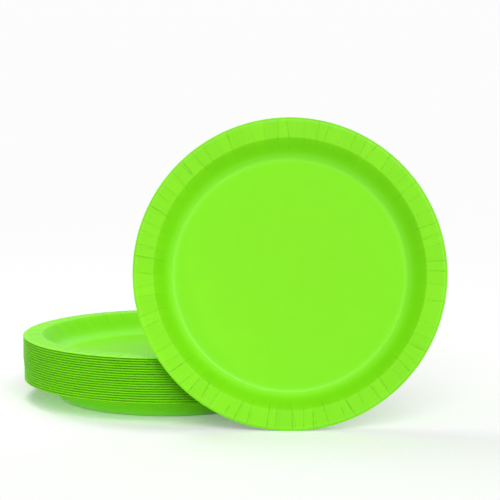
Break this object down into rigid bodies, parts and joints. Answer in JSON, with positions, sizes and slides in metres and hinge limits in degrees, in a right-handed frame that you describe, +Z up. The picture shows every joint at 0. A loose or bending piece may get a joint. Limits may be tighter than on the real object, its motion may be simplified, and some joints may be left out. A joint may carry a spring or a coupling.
{
  "type": "stack of paper plates",
  "caption": "Nested column of round pressed paperboard plates, with one more plate standing on its rim and leaning on it.",
  "frame": {"origin": "on the surface that the pack stands on, on the axis of the bottom plate", "axes": "+Z up along the column's axis; +X to the right towards the leaning plate; -Y towards the viewer, who sees the leaning plate's face"},
  "size_m": [0.3203, 0.2511, 0.2228],
  "materials": {
    "green_board": "smooth lime-green coated paperboard with a soft sheen and fine pressed pleats"
  },
  "bodies": {
    "root": {"plate_01": "green_board", "plate_02": "green_board", "plate_03": "green_board", "plate_04": "green_board", "plate_05": "green_board", "plate_06": "green_board", "plate_07": "green_board", "plate_08": "green_board", "plate_09": "green_board", "plate_10": "green_board", "plate_11": "green_board", "plate_12": "green_board", "plate_13": "green_board", "plate_14": "green_board", "plate_15": "green_board", "plate_16": "green_board", "plate_17": "green_board", "plate_18": "green_board", "plate_19": "green_board", "standing_plate": "green_board"}
  },
  "joints": []
}
